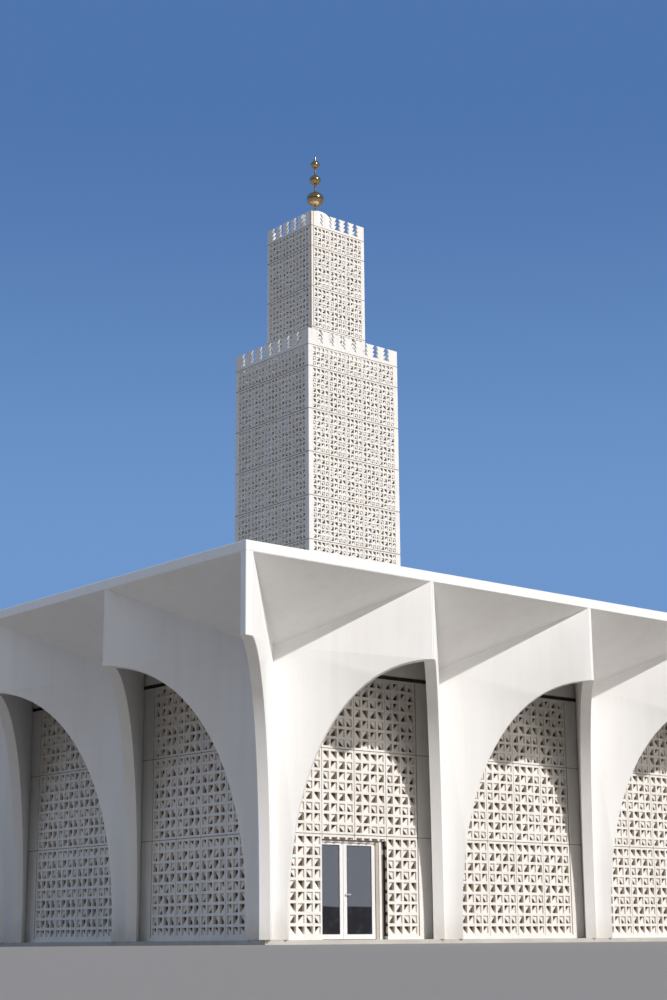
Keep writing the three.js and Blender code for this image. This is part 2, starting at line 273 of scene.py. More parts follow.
def node(tree, kind, **inputs):
    """A shader node with some of its inputs set, by name or by number given as i0, i1 and so on."""
    made = tree.nodes.new(kind)
    for name, value in inputs.items():
        socket = made.inputs[int(name[1:])] if name[1:].isdigit() else made.inputs[name]
        if isinstance(value, bpy.types.NodeSocket):
            tree.links.new(value, socket)
        else:
            socket.default_value = value
    return made


def noise(tree, place, scale, detail=4.0, roughness=0.55, stretch=None):
    """Noise from 0 to 1 at a point of the object, finer along an axis with a larger stretch."""
    if stretch:
        place = node(tree, "ShaderNodeMapping", Vector=place, Scale=stretch).outputs[0]
    made = node(tree, "ShaderNodeTexNoise", Vector=place, Scale=scale, Detail=detail, Roughness=roughness)
    return made.outputs["Fac"]


def spread(tree, value, low, high, out_low=0.0, out_high=1.0):
    """A smooth step from out_low to out_high while the value goes from low to high."""
    made = node(tree, "ShaderNodeMapRange", i0=value, i1=low, i2=high, i3=out_low, i4=out_high)
    made.interpolation_type = "SMOOTHSTEP"
    return made.outputs[0]


def maths(tree, operation, first, second):
    """One sum of two values."""
    made = node(tree, "ShaderNodeMath", i0=first, i1=second)
    made.operation = operation
    return made.outputs[0]


def blended(tree, factor, first, second, mode="MIX"):
    """Colour first where factor is 0, and second where it is 1."""
    made = node(tree, "ShaderNodeMix")
    made.data_type = "RGBA"
    made.blend_type = mode
    for socket, value in zip((made.inputs[0], made.inputs[6], made.inputs[7]), (factor, first, second)):
        if isinstance(value, bpy.types.NodeSocket):
            tree.links.new(value, socket)
        else:
            socket.default_value = value
    return made.outputs[2]


def rgb(red, green, blue):
    """A colour with full cover."""
    return (red, green, blue, 1.0)


def new_material(name, roughness, metallic=0.0):
    """An empty surface: its material, node tree, shader and the object's own coordinates."""
    made = bpy.data.materials.new(name)
    made.use_nodes = True
    tree = made.node_tree
    shader = tree.nodes["Principled BSDF"]
    shader.inputs["Roughness"].default_value = roughness
    shader.inputs["Metallic"].default_value = metallic
    place = tree.nodes.new("ShaderNodeTexCoord").outputs["Object"]
    return made, tree, shader, place


def bump(tree, shader, height, strength, distance):
    """Fine relief on a surface."""
    made = node(tree, "ShaderNodeBump", Height=height, Strength=strength, Distance=distance)
    tree.links.new(made.outputs[0], shader.inputs["Normal"])


def height_above(tree, place):
    """The height of a point, or the upward part of a direction."""
    return node(tree, "ShaderNodeSeparateXYZ", Vector=place).outputs[2]


def weathered_concrete():
    """Smooth painted concrete: faint clouds, thin streaks down the face, dust at the foot."""
    made, tree, shader, place = new_material("white_concrete", 0.62)
    clouds = spread(tree, noise(tree, place, 0.45, 5.0), 0.35, 0.7)
    streaks = spread(tree, noise(tree, place, 1.3, 6.0, 0.62, (3.0, 3.0, 0.16)), 0.42, 0.72)
    fine = noise(tree, place, 38.0, 5.0, 0.6)
    tint = blended(tree, clouds, rgb(0.88, 0.875, 0.865), rgb(0.85, 0.84, 0.825))
    tint = blended(tree, maths(tree, "MULTIPLY", streaks, 0.3), tint, rgb(0.76, 0.745, 0.72))
    rough_height = maths(tree, "ADD", height_above(tree, place), noise(tree, place, 1.7, 6.0, 0.65))
    dust = spread(tree, rough_height, 0.45, 1.35, 0.5, 0.0)
    tint = blended(tree, dust, tint, rgb(0.62, 0.58, 0.52))
    tree.links.new(tint, shader.inputs["Base Color"])
    tree.links.new(spread(tree, fine, 0.3, 0.7, 0.55, 0.72), shader.inputs["Roughness"])
    bump(tree, shader, fine, 0.25, 0.004)
    return made


def precast(name, light, dark):
    """Cast concrete of the openwork: small pits, sandy colour and a tone of its own for each panel."""
    made, tree, shader, place = new_material(name, 0.8)
    sand = noise(tree, place, 55.0, 4.0, 0.7)
    clouds = spread(tree, noise(tree, place, 1.1, 5.0), 0.35, 0.7)
    streaks = spread(tree, noise(tree, place, 1.8, 5.0, 0.6, (4.0, 4.0, 0.35)), 0.45, 0.75)
    tone = node(tree, "ShaderNodeAttribute")
    tone.attribute_name = "tone"
    tint = blended(tree, clouds, light, dark)
    tint = blended(tree, tone.outputs["Fac"], tint, dark)
    tint = blended(tree, maths(tree, "MULTIPLY", streaks, 0.3), tint, rgb(0.6, 0.55, 0.47))
    specks = spread(tree, sand, 0.62, 0.72, 0.0, 0.3)
    tint = blended(tree, specks, tint, rgb(0.5, 0.45, 0.38))
    tree.links.new(tint, shader.inputs["Base Color"])
    bump(tree, shader, sand, 0.4, 0.003)
    return made


def sealant_and_painted_shade():
    """Brown sealant in the joints, and painted shade on the plate over the doorway."""
    made, tree, shader, place = new_material("sealant_and_painted_shade", 0.85)
    grain = noise(tree, place, 30.0, 4.0, 0.6)
    tint = blended(tree, grain, rgb(0.30, 0.235, 0.175), rgb(0.40, 0.32, 0.245))
    tree.links.new(tint, shader.inputs["Base Color"])
    bump(tree, shader, grain, 0.3, 0.002)
    return made


def plain_floor_concrete():
    """Grey floor concrete, cloudy and grainy."""
    made, tree, shader, place = new_material("floor_concrete", 0.7)
    clouds = spread(tree, noise(tree, place, 0.8, 6.0), 0.3, 0.7)
    grain = noise(tree, place, 45.0, 5.0, 0.65)
    tint = blended(tree, clouds, rgb(0.56, 0.54, 0.50), rgb(0.46, 0.44, 0.41))
    tint = blended(tree, spread(tree, grain, 0.5, 0.7, 0.0, 0.5), tint, rgb(0.40, 0.38, 0.35))
    tree.links.new(tint, shader.inputs["Base Color"])
    bump(tree, shader, grain, 0.35, 0.003)
    return made


def gravel():
    """Loose pale gravel on the roof."""
    made, tree, shader, place = new_material("roof_gravel", 0.92)
    stones = node(tree, "ShaderNodeTexVoronoi", Vector=place, Scale=28.0)
    patches = spread(tree, noise(tree, place, 0.5, 6.0, 0.6), 0.35, 0.7)
    per_stone = node(tree, "ShaderNodeSeparateColor", Color=stones.outputs["Color"]).outputs[0]
    tint = blended(tree, per_stone, rgb(0.40, 0.38, 0.35), rgb(0.62, 0.60, 0.56))
    tint = blended(tree, maths(tree, "MULTIPLY", patches, 0.5), tint, rgb(0.42, 0.39, 0.34))
    tree.links.new(tint, shader.inputs["Base Color"])
    domes = spread(tree, stones.outputs["Distance"], 0.0, 0.7, 1.0, 0.0)
    bump(tree, shader, domes, 0.9, 0.015)
    return made


def gilt():
    """Polished gilt metal with soft dents, darker where the leaf has worn."""
    made, tree, shader, place = new_material("gilt", 0.2, 1.0)
    dents = noise(tree, place, 7.0, 3.0, 0.5)
    wear = spread(tree, noise(tree, place, 16.0, 6.0, 0.65), 0.5, 0.72)
    tint = blended(tree, wear, rgb(0.66, 0.47, 0.24), rgb(0.36, 0.23, 0.11))
    tree.links.new(tint, shader.inputs["Base Color"])
    tree.links.new(spread(tree, wear, 0.0, 1.0, 0.12, 0.34), shader.inputs["Roughness"])
    bump(tree, shader, dents, 0.35, 0.02)
    return made


def powder_coat(name, light, dark, roughness):
    """Coated aluminium: a fine orange-peel skin and a little dust."""
    made, tree, shader, place = new_material(name, roughness)
    peel = noise(tree, place, 260.0, 2.0, 0.5)
    dust = spread(tree, noise(tree, place, 3.0, 6.0, 0.65, (1.0, 1.0, 0.3)), 0.4, 0.75)
    tree.links.new(blended(tree, dust, light, dark), shader.inputs["Base Color"])
    tree.links.new(spread(tree, dust, 0.0, 1.0, roughness, roughness + 0.2), shader.inputs["Roughness"])
    bump(tree, shader, peel, 0.12, 0.0006)
    return made


def rubber():
    """Black gasket rubber."""
    made, tree, shader, place = new_material("gasket_rubber", 0.75)
    grain = noise(tree, place, 120.0, 3.0)
    tint = blended(tree, grain, rgb(0.02, 0.02, 0.02), rgb(0.05, 0.05, 0.048))
    tree.links.new(tint, shader.inputs["Base Color"])
    bump(tree, shader, grain, 0.2, 0.0008)
    return made


def brushed_steel():
    """Satin stainless steel, brushed along the lever."""
    made, tree, shader, place = new_material("handle_steel", 0.3, 0.7)
    lines = noise(tree, place, 90.0, 4.0, 0.6, (0.4, 6.0, 6.0))
    tint = blended(tree, lines, rgb(0.93, 0.93, 0.92), rgb(0.8, 0.8, 0.79))
    tree.links.new(tint, shader.inputs["Base Color"])
    tree.links.new(spread(tree, lines, 0.3, 0.7, 0.24, 0.42), shader.inputs["Roughness"])
    bump(tree, shader, lines, 0.15, 0.0004)
    return made


def coated_glass(name, upper, lower, painted_reflection_height):
    """Mirror-like solar-control glass with a painted reflection: pale above a height and dark below it."""
    made, tree, shader, place = new_material(name, 0.05, 0.75)
    waves = noise(tree, place, 1.2, 2.0, 0.4)
    edge = maths(tree, "ADD", height_above(tree, place), maths(tree, "MULTIPLY", waves, 0.06))
    low = spread(tree, edge, painted_reflection_height - 0.01, painted_reflection_height + 0.03, 1.0, 0.0)
    smears = spread(tree, noise(tree, place, 5.0, 6.0, 0.7), 0.45, 0.75)
    # Painted reflection: the pale upper colour above a wavy height and the dark lower colour below it
    tint = blended(tree, low, upper, lower)
    tint = blended(tree, maths(tree, "MULTIPLY", smears, 0.12), tint, rgb(0.5, 0.5, 0.48))
    tree.links.new(tint, shader.inputs["Base Color"])
    tree.links.new(spread(tree, smears, 0.0, 1.0, 0.03, 0.1), shader.inputs["Roughness"])
    bump(tree, shader, waves, 0.08, 0.02)
    return made


def glass_painted_dark_hall():
    """Glass behind the openwork, dusty, coloured dark brown as painted shade of the unlit hall behind it."""
    made, tree, shader, place = new_material("glass_painted_dark_hall", 0.25)
    dust = spread(tree, noise(tree, place, 2.2, 6.0, 0.65), 0.4, 0.75)
    # The dark brown is painted shade of the hall behind the glass; the lighter patches are dust
    tint = blended(tree, dust, rgb(0.085, 0.062, 0.045), rgb(0.125, 0.098, 0.075))
    tree.links.new(tint, shader.inputs["Base Color"])
    tree.links.new(spread(tree, dust, 0.0, 1.0, 0.18, 0.45), shader.inputs["Roughness"])
    shader.inputs["Specular IOR Level"].default_value = 0.1
    bump(tree, shader, noise(tree, place, 1.2, 2.0, 0.4), 0.08, 0.02)
    return made


CONCRETE = weathered_concrete()
OPENWORK = precast("openwork_precast", rgb(0.80, 0.79, 0.775), rgb(0.75, 0.735, 0.71))
# Cell reveals: the cast concrete tinted warm beige and lighter than the faces, painted bounce light in the
# recesses
OPENWORK_REVEAL_PAINTED_BOUNCE = precast("openwork_reveal_painted_bounce", rgb(0.87, 0.80, 0.70), rgb(0.79, 0.71, 0.60))
# Rear faces of the openwork: near black, painted shade of the dark interior behind the cells
OPENWORK_INSIDE_PAINTED_SHADE = precast("openwork_inside_painted_shade", rgb(0.05, 0.037, 0.027), rgb(0.035, 0.026, 0.02))
SEALANT_AND_PAINTED_SHADE = sealant_and_painted_shade()
FLOOR = plain_floor_concrete()
GRAVEL = gravel()
GILT = gilt()
WHITE_COAT = powder_coat("white_metal", rgb(0.82, 0.82, 0.82), rgb(0.72, 0.71, 0.69), 0.35)
DARK_COAT = powder_coat("dark_panel", rgb(0.045, 0.042, 0.04), rgb(0.09, 0.08, 0.07), 0.45)
GREY_COAT = powder_coat("grey_rail", rgb(0.42, 0.40, 0.37), rgb(0.3, 0.28, 0.26), 0.5)
# Flat beige strip on the right jamb: painted shade of a recess beside the leaf
JAMB_PAINTED_SHADE = powder_coat("jamb_painted_shade", rgb(0.50, 0.44, 0.36), rgb(0.42, 0.36, 0.29), 0.5)
RUBBER = rubber()
STEEL = brushed_steel()
# Door panes: pale above 0.87 m and dark below, a painted reflection
DOOR_GLASS_PAINTED_REFLECTION = coated_glass("door_glass", rgb(0.40, 0.39, 0.38), rgb(0.07, 0.062, 0.06), 0.87)
SIDE_COAT = powder_coat("side_panel", rgb(0.16, 0.13, 0.11), rgb(0.11, 0.09, 0.075), 0.5)
GLASS_PAINTED_DARK_HALL = glass_painted_dark_hall()


# Mesh building


class Side:
    """One face of a building: where it starts in plan, which way it runs and which way is indoors."""

    def __init__(self, start, along, inward):
        self.start = Vector((start[0], start[1], 0)) + PLAN_ORIGIN
        self.along = Vector((along[0], along[1], 0))
        self.inward = Vector((inward[0], inward[1], 0))

    def at(self, a, d, z):
        """The point a along the side, d indoors from it and z up."""
        return self.start + self.along * a + self.inward * d + Vector((0, 0, z))


class ShiftedSide:
    """A side seen from a plane further in."""

    def __init__(self, side, depth):
        self.side, self.depth = side, depth

    def at(self, a, d, z):
        return self.side.at(a, d + self.depth, z)


def four_sides(x0, y0, width, depth):
    """The four sides of a rectangle in plan, each running anticlockwise seen from above."""
    return {
        "front": Side((x0, y0), (1, 0), (0, 1)),
        "right": Side((x0 + width, y0), (0, 1), (-1, 0)),
        "back": Side((x0 + width, y0 + depth), (-1, 0), (0, -1)),
        "left": Side((x0, y0 + depth), (0, -1), (1, 0)),
    }


def rectangle(a0, a1, z0, z1):
    """The corners of a rectangle, anticlockwise from outdoors."""
    return [(a0, z0), (a1, z0), (a1, z1), (a0, z1)]


class Solid:
    """Gathers prisms for one piece, each face with a material number and a tone."""

    def __init__(self, side):
        self.side = side
        self.corners = []
        self.faces = []
        self.numbers = []
        self.tones = []

    def prism(self, points, d0, d1, face=0, edge=None, back=None, tone=0.0, rear=None):
        """A polygon of (along, up) points, anticlockwise from outdoors, at d0, and the rear one at d1."""
        first, count = len(self.corners), len(points)
        for depth, outline in ((d0, points), (d1, rear or points)):
            self.corners.extend(self.side.at(a, depth, z) for a, z in outline)
        outer = list(range(first, first + count))
        inner = [i + count for i in outer]
        self.faces.append(outer)
        self.faces.append(inner[::-1])
        self.numbers += [face, face if back is None else back]
        for i in range(count):
            j = (i + 1) % count
            self.faces.append([outer[j], outer[i], inner[i], inner[j]])
            self.numbers.append(face if edge is None else edge)
        self.tones += [tone] * (count + 2)

    def box(self, a0, a1, d0, d1, z0, z1, face=0, edge=None, back=None, tone=0.0):
        """A rectangle from depth d0 to d1."""
        self.prism(rectangle(a0, a1, z0, z1), d0, d1, face, edge, back, tone)

    def finish(self, name, materials, body="building", replaces=()):
        """The piece made of all the prisms."""
        mesh = bpy.data.meshes.new(name)
        mesh.from_pydata(self.corners, [], self.faces)
        mesh.polygons.foreach_set("material_index", self.numbers)
        mesh.attributes.new("tone", "FLOAT", "FACE").data.foreach_set("value", self.tones)
        return place_piece(name, mesh, materials, body, replaces)


def place_piece(name, mesh, materials, body="building", replaces=()):
    """Puts a mesh into the scene on its body, in place of the CAD nodes that it replaces."""
    for material in materials:
        mesh.materials.append(material)
    mesh.update()
    piece = bpy.data.objects.new(name, mesh)
    bpy.context.scene.collection.objects.link(piece)
    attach(piece, body)
    if replaces:
        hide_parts(*replaces)
    return piece


def shade_smooth(mesh, hard_over):
    """Smooth shading, with hard edges where faces meet at more than an angle."""
    mesh.polygons.foreach_set("use_smooth", [True] * len(mesh.polygons))
    mesh.set_sharp_from_angle(angle=hard_over)


def eased(name, material, body="building", chamfer=0.01):
    """A copy of a CAD node in its place, with its flat faces joined and its outer edges chamfered."""
    shape = bmesh.new()
    shape.from_mesh(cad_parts[name].data)
    bmesh.ops.remove_doubles(shape, verts=shape.verts, dist=MERGE_WITHIN)
    bmesh.ops.dissolve_limit(shape, angle_limit=FLAT_WITHIN, verts=shape.verts, edges=shape.edges)
    outer = [e for e in shape.edges if e.is_manifold and e.calc_face_angle_signed() > CHAMFER_OVER]
    bmesh.ops.bevel(shape, geom=outer, offset=chamfer, segments=1, affect="EDGES", clamp_overlap=True)
    mesh = bpy.data.meshes.new(name + "_eased")
    shape.to_mesh(mesh)
    shape.free()
    shade_smooth(mesh, CHAMFER_OVER)
    return place_piece(name + "_eased", mesh, [material], body, [name])


def turned(name, profile, steps, material, replaces=()):
    """A piece turned round the minaret's axis from (radius, height) points that start and end on it."""
    corners = []
    faces = []
    rings = []
    for radius, height in profile:
        if radius < ON_AXIS:
            rings.append([len(corners)])
            corners.append((AXIS.x, AXIS.y, height))
            continue
        rings.append(list(range(len(corners), len(corners) + steps)))
        for k in range(steps):
            turn = 2 * math.pi * k / steps
            corners.append((AXIS.x + radius * math.cos(turn), AXIS.y + radius * math.sin(turn), height))
    for lower, upper in zip(rings, rings[1:]):
        for k in range(steps):
            n = (k + 1) % steps
            quad = [lower[k % len(lower)], lower[n % len(lower)]]
            quad += [upper[n % len(upper)], upper[k % len(upper)]]
            face = list(dict.fromkeys(quad))
            if len(face) > 2:
                faces.append(face)
    mesh = bpy.data.meshes.new(name)
    mesh.from_pydata(corners, [], faces)
    shade_smooth(mesh, ROUND_UNDER)
    return place_piece(name, mesh, [material], replaces=replaces)


# Openwork

# Reveal faces take the warm beige material, which is painted bounce light in the recesses
FACE, REVEAL_PAINTED_BOUNCE, FILLER_AND_PAINTED_SHADE, PAINTED_SHADE_INSIDE = range(4)
# Rear faces take the near-black material, which is painted shade of the dark interior
OPENWORK_MATERIALS = [OPENWORK, OPENWORK_REVEAL_PAINTED_BOUNCE, SEALANT_AND_PAINTED_SHADE, OPENWORK_INSIDE_PAINTED_SHADE]


def web(letter, x0, x1, z0, z1):
    """The half of a cell that is closed, for a hole whose right angle is at the letter's corner."""
    return {
        "a": [(x0, z0), (x1, z0), (x1, z1)],
        "b": [(x0, z0), (x1, z0), (x0, z1)],
        "c": [(x1, z0), (x1, z1), (x0, z1)],
        "d": [(x0, z0), (x1, z1), (x0, z1)],
    }[letter]


def cut_below(points, level):
    """A polygon's part above a level."""
    kept = []
    for (a0, z0), (a1, z1) in zip(points, points[1:] + points[:1]):
        if z0 >= level:
            kept.append((a0, z0))
        if (z0 - level) * (z1 - level) < 0:
            share = (level - z0) / (z1 - z0)
            kept.append((a0 + share * (a1 - a0), level))
    return kept


def bar_spans(start, end, count):
    """Start and end of each bar that parts a length into cells, in front and at the wider rear."""
    pitch = (end - start) / count
    middles = [start + k * pitch for k in range(1, count)]
    inner = [(middle - BAR / 2, middle + BAR / 2) for middle in middles]
    spans = [(start, start + EDGE_BAR)] + inner + [(end - EDGE_BAR, end)]
    return [(a, b, max(start, a - SPLAY), min(end, b + SPLAY)) for a, b in spans]


def openwork_panel(solid, a0, a1, z0, z1, rows, floor=None, tone=0.0):
    """A panel four cells wide with a thin web in each cell. Below floor it is cut away."""
    floor = z0 if floor is None else floor
    across = bar_spans(a0, a1, PANEL_COLUMNS)
    upward = bar_spans(z0, z1, len(rows))
    for left, right, rear_left, rear_right in across:
        rear = rectangle(rear_left, rear_right, floor, z1)
        solid.prism(rectangle(left, right, floor, z1), 0, OPENWORK_T, FACE, REVEAL_PAINTED_BOUNCE, PAINTED_SHADE_INSIDE, tone, rear)
    for bottom, top, rear_bottom, rear_top in upward:
        if top > floor:
            front = rectangle(a0, a1, max(bottom, floor), top)
            rear = rectangle(a0, a1, max(rear_bottom, floor), rear_top)
            solid.prism(front, BAR_STEP, OPENWORK_T - BAR_STEP, FACE, REVEAL_PAINTED_BOUNCE, PAINTED_SHADE_INSIDE, tone, rear)
    for letters, below, above in zip(reversed(rows), upward, upward[1:]):
        bottom, top = below[1] - EMBED, above[0] + EMBED
        for letter, before, after in zip(letters, across, across[1:]):
            points = web(letter, before[1] - EMBED, after[0] + EMBED, bottom, top)
            if bottom < floor:
                points = cut_below(points, floor)
            if len(points) > 2:
                solid.prism(points, WEB_BACK, WEB_BACK + WEB_T, FACE, REVEAL_PAINTED_BOUNCE, PAINTED_SHADE_INSIDE, tone)


def tone_of(*numbers):
    """A small tone for one panel, the same each run."""
    return sum(n * stride for n, stride in zip(numbers, TONE_STRIDES)) % TONES / TONES * TONE_MOST


def openwork_field(solid, middle, start, end, low, number):
    """The panels round the middle of one bay that lie between a screen's ends."""
    for p in range(COLUMNS // PANEL_COLUMNS):
        a0 = middle - FIELD_HALF + p * PANEL_W
        if a0 < start - CELL_W / 2 or a0 + PANEL_W > end + CELL_W / 2:
            continue
        for band, (z0, z1, rows) in enumerate(SCREEN_BANDS):
            if z1 > low:
                tone = tone_of(number + 1, p + 1, band + 2)
                ends = (a0 + PANEL_JOINT / 2, a0 + PANEL_W - PANEL_JOINT / 2)
                openwork_panel(solid, *ends, z0, z1, rows, max(z0, low), tone)


def screen_edges(solid, start, end, low):
    """The kerb under a screen, or the back of the row over the doorway in sealant brown as painted shade,
    and the plain band at the head.
    """
    if low < KERB_TOP:
        solid.box(start, end, BAR_STEP, SCREEN_T, low, KERB_TOP, FACE)
    else:
        # The plate behind the row over the doorway is sealant brown: painted shade under the screen's cut
        # edge
        solid.box(start, end, OPENWORK_T - EMBED, SCREEN_T, low, SCREEN_BANDS[0][1], FILLER_AND_PAINTED_SHADE)
    solid.box(start, end, BAR_STEP, SCREEN_T, TOP_BAND, SCREEN_TOP, FACE)


def screen_joints(solid, start, end, fields, tops, low):
    """The sealed joints between bands and between panels."""
    for z in [z for z in tops if z > low]:
        solid.box(start, end, FILLER_BACK, OPENWORK_T - BAR_STEP, z - JOINT - EMBED, z + EMBED, FILLER_AND_PAINTED_SHADE)
    reach = JOINT + EMBED
    for middle in fields:
        for a in [middle - FIELD_HALF + p * PANEL_W for p in range(COLUMNS // PANEL_COLUMNS + 1)]:
            if start < a < end:
                solid.box(a - reach, a + reach, FILLER_BACK, OPENWORK_T, low, SCREEN_TOP - EMBED, FILLER_AND_PAINTED_SHADE)


def screen(name, side, start, end, fields, low=SCREEN_BOTTOM, replaces=None):
    """A screen wall along a side, with a field of cells round the middle of each bay."""
    solid = Solid(ShiftedSide(side, SCREEN_Y))
    tops = [z1 + JOINT for z0, z1, rows in SCREEN_BANDS]
    plain_from = start
    for number, middle in enumerate(fields):
        openwork_field(solid, middle, start, end, low, number)
        plain_to = max(middle - FIELD_HALF, start)
        if plain_to - plain_from > CELL_W:
            plain_strips(solid, plain_from, plain_to - JOINT, tops, low, number)
        plain_from = min(middle + FIELD_HALF, end) + JOINT
    if end - plain_from > CELL_W:
        plain_strips(solid, plain_from, end, tops, low, len(fields))
    screen_edges(solid, start, end, low)
    screen_joints(solid, start, end, fields, tops, low)
    return solid.finish(name, OPENWORK_MATERIALS, replaces=replaces)


def plain_strips(solid, a0, a1, tops, low, number):
    """The plain plates between two fields of cells, jointed where they pass the two faces of the pier."""
    bottom = max(KERB_TOP, low)
    middle = (a0 + a1) / 2
    faces = [middle - WALL_HALF - END_STRIP, middle + WALL_HALF + END_STRIP]
    cuts = [a0] + [a for a in faces if a0 < a < a1] + [a1]
    for band, top in enumerate(tops):
        for left, right in zip(cuts, cuts[1:]):
            tone = tone_of(number + 3, band + 1)
            solid.box(left + JOINT / 2, right - JOINT / 2, 0, SCREEN_T, bottom, top - JOINT, FACE, tone=tone)
        bottom = top
    for a in cuts[1:-1]:
        solid.box(a - JOINT, a + JOINT, FILLER_BACK, OPENWORK_T, max(KERB_TOP, low), TOP_BAND, FILLER_AND_PAINTED_SHADE)


def upper_wall(name, side, start, end, fields):
    """The plain wall over the shadow gap, with a recessed strip beside each pier."""
    solid = Solid(ShiftedSide(side, SCREEN_Y))
    solid.box(start, end, UPPER_RECESS, SCREEN_T, *UPPER_WALL)
    for middle in fields:
        a0, a1 = middle - UPPER_WALL_HALF, middle + UPPER_WALL_HALF
        solid.box(a0, a1, 0, UPPER_RECESS + EMBED, *UPPER_WALL)
    return solid.finish(name + "_panels", [CONCRETE], replaces=[name])


def glazing(name, side, start, end, holes=()):
    """Glass painted dark as shade of the hall behind it, and its mullions close behind a screen, kept clear
    of the doorset.
    """
    solid = Solid(ShiftedSide(side, GLAZING_Y))
    cuts = [start] + [x for hole in holes for x in hole] + [end]
    for a0, a1 in zip(cuts[::2], cuts[1::2]):
        solid.box(a0, a1, 0, GLAZING_T, SCREEN_BOTTOM, GLAZING_TOP, 0)
        count = max(1, round((a1 - a0) / MULLION_PITCH))
        for k in range(count + 1):
            a = a0 + (a1 - a0 - MULLION) * k / count
            solid.box(a, a + MULLION, -EMBED, MULLION_DEPTH - EMBED, SCREEN_BOTTOM, GLAZING_TOP, 1)
    for hole in holes:
        solid.box(hole[0], hole[1], 0, GLAZING_T, DOORSET_TOP, GLAZING_TOP, 0)
    return solid.finish(name, [GLASS_PAINTED_DARK_HALL, DARK_COAT])


HALL = four_sides(0, 0, LENGTH, DEPTH)
LONG_FIELDS = [BAY * i for i in range(1, BAYS_LONG)]
DEEP_FIELDS = [BAY * i for i in range(1, BAYS_DEEP)]


def build_screens():
    """The screens, the plain walls over them and the glazing behind them, on all four sides."""
    front = HALL["front"]
    door_x0, door_x1 = DOORWAY
    nodes = ["screen_front_left", "screen_front_over_door", "screen_front_right"]
    screen("openwork_front_left", front, SCREEN_Y, door_x0 - GAP, LONG_FIELDS[:1], replaces=nodes[:1])
    screen("openwork_over_door", front, door_x0, door_x1, LONG_FIELDS[:1], DOORWAY_TOP, nodes[1:2])
    screen("openwork_front_right", front, door_x1 + GAP, LENGTH - SCREEN_Y, LONG_FIELDS, replaces=nodes[2:])
    screen("openwork_back", HALL["back"], SCREEN_Y, LENGTH - SCREEN_Y, LONG_FIELDS, replaces=["screen_back"])
    for name in ("left", "right"):
        end = DEPTH - SCREEN_END
        screen("openwork_" + name, HALL[name], SCREEN_END, end, DEEP_FIELDS, replaces=["screen_" + name])
    for name, side in HALL.items():
        if name in ("front", "back"):
            fields, length, inset = LONG_FIELDS, LENGTH, SCREEN_Y
        else:
            fields, length, inset = DEEP_FIELDS, DEPTH, SCREEN_END
        upper_wall("upper_wall_" + name, side, inset, length - inset, fields)
        ends = (GLAZING_Y + GLAZING_CORNER, length - GLAZING_Y - GLAZING_CORNER)
        glazing("glazing_" + name, side, *ends, holes=[DOORSET] if name == "front" else [])


# The minaret


def merlons(solid, tier, a_start, a_end):
    """The parapet between two ends: a band, thin merlons parted by serrated slots, and thick corners."""
    top = tier["top"]
    slot_bottom = top - SLOT_TIERS * SLOT_TIER_H
    solid.box(a_start, a_end, 0, TOWER_T, tier["shoulder"] + TOWER_JOINT / 2, slot_bottom, FACE)
    pitch = tier["side"] / (tier["slots"] + 1)
    for t in range(SLOT_TIERS):
        z1 = top - t * SLOT_TIER_H
        z0 = z1 - SLOT_TIER_H
        for i in range(tier["slots"] + 1):
            top_left = a_start if i == 0 else pitch * i + SLOT_NARROW
            low_left = a_start if i == 0 else pitch * i + SLOT_WIDE
            top_right = a_end if i == tier["slots"] else pitch * (i + 1) - SLOT_NARROW
            low_right = a_end if i == tier["slots"] else pitch * (i + 1) - SLOT_WIDE
            outline = [(low_left, z0), (low_right, z0), (top_right, z1), (top_left, z1)]
            solid.prism(outline, 0, MERLON_T, FACE)
    if a_start == 0:
        for a in (0, a_end - TOWER_T):
            solid.box(a, a + TOWER_T, MERLON_T - EMBED, TOWER_T, slot_bottom, top, FACE)


def tower_bands(tier):
    """Bottom height and rows of each band of cells, from the top down."""
    high = TOWER_CELL[1]
    bands = [(tier["joint"], PATTERN[:4])]
    top = tier["joint"] - TOWER_JOINT
    while top - len(PATTERN) * high > tier["lowest"] - EMBED:
        bands.append((top - len(PATTERN) * high, PATTERN))
        top -= TOWER_PITCH
    rest = int((top - tier["lowest"] + EMBED) / high)
    if rest > 0:
        bands.append((top - rest * high, PATTERN[:rest]))
    return bands


def post_beads(solid, tier):
    """Slim dark beads at both edges of the post at the left end of a tier's side."""
    for start in (-BEAD_OUT, tier["post"]):
        solid.box(start, start + BEAD, -BEAD_OUT, BEAD, tier["base"], tier["top"], FILLER_AND_PAINTED_SHADE)


def tower_openwork(solid, tier, tone_number, a_start, a_end):
    """Bands of panels between plain strips, with a joint under each band. Returns the lowest cells' foot."""
    wide, high = TOWER_CELL
    columns = tier["columns"]
    strip = (tier["side"] - columns * wide) / 2
    panel = PANEL_COLUMNS * wide
    joint_depth = OPENWORK_T - BAR_STEP
    for band, (z0, rows) in enumerate(tower_bands(tier)):
        z1 = z0 + len(rows) * high
        for p in range(columns // PANEL_COLUMNS):
            tone = tone_of(p + 2, band + 1, tone_number)
            a0 = strip + p * panel + PANEL_JOINT / 2
            openwork_panel(solid, a0, a0 + panel - PANEL_JOINT, z0, z1, rows, tone=tone)
        solid.box(a_start, strip + EMBED, 0, TOWER_T, z0, z1, FACE, back=PAINTED_SHADE_INSIDE)
        solid.box(tier["side"] - strip - EMBED, a_end, 0, TOWER_T, z0, z1, FACE, back=PAINTED_SHADE_INSIDE)
        joint_foot = z0 - TOWER_JOINT - EMBED
        solid.box(a_start, a_end, FILLER_BACK, joint_depth, joint_foot, z0 + EMBED, FILLER_AND_PAINTED_SHADE)
    for p in range(1, columns // PANEL_COLUMNS):
        left, right = strip + p * panel - PANEL_JOINT, strip + p * panel + PANEL_JOINT
        solid.box(left, right, FILLER_BACK, OPENWORK_T, z0, tier["shoulder"], FILLER_AND_PAINTED_SHADE)
    return z0


